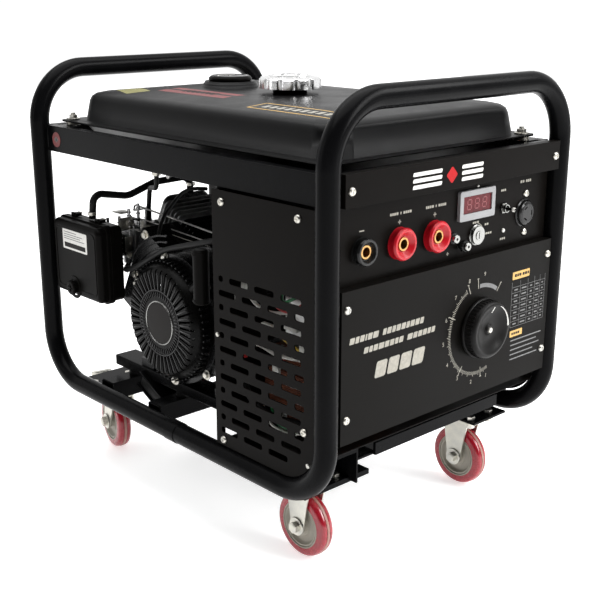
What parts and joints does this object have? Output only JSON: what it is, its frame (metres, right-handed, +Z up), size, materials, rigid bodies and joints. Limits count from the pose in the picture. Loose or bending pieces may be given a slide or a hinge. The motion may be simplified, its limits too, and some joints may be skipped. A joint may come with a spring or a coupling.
{
  "type": "engine driven welder",
  "caption": "Petrol engine driven welder on casters: bent tube frame with two handles, fuel tank on top, vented control box with weld sockets, meter and current dial.",
  "frame": {"origin": "on the floor, under the middle of the overall box", "axes": "+Z up; the control panel faces -Y and the recoil starter faces -X"},
  "size_m": [0.5228, 0.7506, 0.693],
  "materials": {
    "frame_black": "satin",
    "panel_black": "satin",
    "tank_black": "satin",
    "engine_black": "satin",
    "muffler_black": "matt",
    "zinc_bolts": "satin",
    "zinc_caster": "satin",
    "steel": "satin",
    "cast_alloy": "cast",
    "alloy_fins": "satin",
    "caster_wheel": "satin",
    "rubber_black": "matt",
    "black_plastic": "satin",
    "knob_black": "gloss",
    "red_plastic": "gloss",
    "brass": "machined",
    "meter_grey": "satin",
    "switch_chrome": "polished",
    "cap_chrome": "polished",
    "copper_coil": "satin"
  },
  "bodies": {
    "machine": {"frame_hoop_front": "frame_black", "frame_hoop_rear": "frame_black", "top_rails": "frame_black", "base_frame": "frame_black", "base_bolts": "zinc_bolts", "caster_plates": "zinc_caster", "caster_forks_front": "zinc_caster", "engine_bed": "frame_black", "rubber_mounts": "rubber_black", "crankcase": "cast_alloy", "cylinder_head": "cast_alloy", "valve_cover": "engine_black", "spark_plug": "rubber_black", "fan_shroud": "engine_black", "recoil_cover": "engine_black", "alternator_housing": "cast_alloy", "air_cleaner_base": "black_plastic", "carburettor": "cast_alloy", "muffler": "muffler_black", "hoses": "rubber_black", "fuel_tank": "tank_black", "tank_bolts": "zinc_bolts", "fuel_gauge": "black_plastic", "side_cover_left": "panel_black", "side_cover_right": "panel_black", "control_box": "panel_black", "lower_panel": "panel_black", "socket_panel": "panel_black", "brow_panel": "panel_black", "panel_screws": "zinc_bolts", "socket_negative": "black_plastic", "sockets_positive": "red_plastic", "socket_inserts": "brass", "panel_meter": "meter_grey", "ac_outlet": "black_plastic", "panel_fittings": "switch_chrome", "weld_reactor": "copper_coil", "rectifier": "alloy_fins"},
    "crank_train": {"crankshaft": "steel", "flywheel_fan": "cast_alloy", "alternator_rotor": "steel"},
    "caster_fork_left": {"fork_rear_left": "zinc_caster"},
    "caster_fork_right": {"fork_rear_right": "zinc_caster"},
    "toggle": {"toggle_lever": "black_plastic"},
    "wheel_front_left": {"wheel_front_left": "caster_wheel"},
    "wheel_front_right": {"wheel_front_right": "caster_wheel"},
    "wheel_rear_left": {"wheel_rear_left": "caster_wheel"},
    "wheel_rear_right": {"wheel_rear_right": "caster_wheel"},
    "fuel_cap": {"fuel_cap": "cap_chrome"},
    "dial_knob": {"dial_knob": "knob_black"},
    "key_barrel": {"key_barrel": "switch_chrome"},
    "recoil_pulley": {"recoil_pulley": "black_plastic"},
    "starter_grip": {"starter_grip": "black_plastic"},
    "choke_lever": {"choke_lever": "black_plastic"},
    "fuel_tap_lever": {"fuel_tap_lever": "steel"},
    "governor_arm": {"governor_arm": "steel"},
    "governor_rod": {"governor_rod": "steel"},
    "throttle_lever": {"throttle_lever": "steel"},
    "oil_dipstick": {"oil_dipstick": "black_plastic"},
    "air_cleaner_cover": {"air_cleaner_cover": "black_plastic"}
  },
  "joints": [
    {"name": "wheel_front_left_spin", "type": "hinge", "parent": "machine", "child": "wheel_front_left", "pos_m": [-0.1785, -0.23235, 0.05], "axis": [1, 0, 0], "continuous": true},
    {"name": "caster_left_swivel", "type": "hinge", "parent": "machine", "child": "caster_fork_left", "pos_m": [-0.176, 0.26265, 0.112], "axis": [0, 0, 1], "continuous": true},
    {"name": "wheel_rear_left_spin", "type": "hinge", "parent": "caster_fork_left", "child": "wheel_rear_left", "pos_m": [-0.17059, 0.28706, 0.05], "axis": [0.9763, -0.2164, 0], "continuous": true},
    {"name": "wheel_front_right_spin", "type": "hinge", "parent": "machine", "child": "wheel_front_right", "pos_m": [0.1785, -0.23235, 0.05], "axis": [1, 0, 0], "continuous": true},
    {"name": "caster_right_swivel", "type": "hinge", "parent": "machine", "child": "caster_fork_right", "pos_m": [0.176, 0.26265, 0.112], "axis": [0, 0, 1], "continuous": true},
    {"name": "wheel_rear_right_spin", "type": "hinge", "parent": "caster_fork_right", "child": "wheel_rear_right", "pos_m": [0.16995, 0.28691, 0.05], "axis": [0.9703, 0.2419, 0], "continuous": true},
    {"name": "fuel_cap_turn", "type": "hinge", "parent": "machine", "child": "fuel_cap", "pos_m": [0, -0.00135, 0.66], "axis": [0, 0, 1], "range_deg": [0, 90]},
    {"name": "current_dial_turn", "type": "hinge", "parent": "machine", "child": "dial_knob", "pos_m": [0.058, -0.36135, 0.33], "axis": [0, 1, 0], "range_deg": [-150, 150]},
    {"name": "toggle_throw", "type": "hinge", "parent": "machine", "child": "toggle", "pos_m": [0.12, -0.33535, 0.497], "axis": [1, 0, 0], "range_deg": [-12, 12]},
    {"name": "key_turn", "type": "hinge", "parent": "machine", "child": "key_barrel", "pos_m": [0.058, -0.34135, 0.466], "axis": [0, 1, 0], "range_deg": [0, 90]},
    {"name": "recoil_pulley_turn", "type": "hinge", "parent": "machine", "child": "recoil_pulley", "pos_m": [-0.209, 0.05865, 0.3], "axis": [1, 0, 0], "range_deg": [0, 573], "stiffness_Nm_per_rad": 0.02, "springref_deg": -57.3},
    {"name": "starter_grip_pull", "type": "slide", "parent": "machine", "child": "starter_grip", "axis": [-0.94, 0, 0.3412], "range_m": [0, 0.45]},
    {"name": "crank_turn", "type": "hinge", "parent": "machine", "child": "crank_train", "pos_m": [0, 0.05865, 0.3], "axis": [1, 0, 0], "continuous": true},
    {"name": "choke_swing", "type": "hinge", "parent": "machine", "child": "choke_lever", "pos_m": [-0.152, 0.23723, 0.432], "axis": [0, 0, -1], "range_deg": [0, 75]},
    {"name": "fuel_tap_turn", "type": "hinge", "parent": "machine", "child": "fuel_tap_lever", "pos_m": [-0.13, 0.15865, 0.541], "axis": [1, 0, 0], "range_deg": [0, 90]},
    {"name": "governor_swing", "type": "hinge", "parent": "machine", "child": "governor_arm", "pos_m": [-0.112, 0.03665, 0.4], "axis": [1, 0, 0], "range_deg": [-12, 12], "stiffness_Nm_per_rad": 0.02},
    {"name": "governor_rod_push", "type": "slide", "parent": "machine", "child": "governor_rod", "axis": [0, 1, 0], "range_m": [-0.0065, 0.0065]},
    {"name": "throttle_swing", "type": "hinge", "parent": "machine", "child": "throttle_lever", "pos_m": [-0.116, 0.23723, 0.441], "axis": [0, 0, 1], "range_deg": [-13, 13]},
    {"name": "dipstick_unscrew", "type": "hinge", "parent": "machine", "child": "oil_dipstick", "pos_m": [-0.06, -0.06735, 0.23], "axis": [0, -0.8, 0.6], "range_deg": [0, 720]},
    {"name": "air_cleaner_cover_pull", "type": "slide", "parent": "machine", "child": "air_cleaner_cover", "axis": [-1, 0, 0], "range_m": [0, 0.06]}
  ],
  "couplings": [
    {"joint": "starter_grip_pull", "follows": "recoil_pulley_turn", "m_per_rad": 0.045},
    {"joint": "governor_rod_push", "follows": "governor_swing", "m_per_rad": -0.028},
    {"joint": "throttle_swing", "follows": "governor_swing", "ratio": 1}
  ]
}
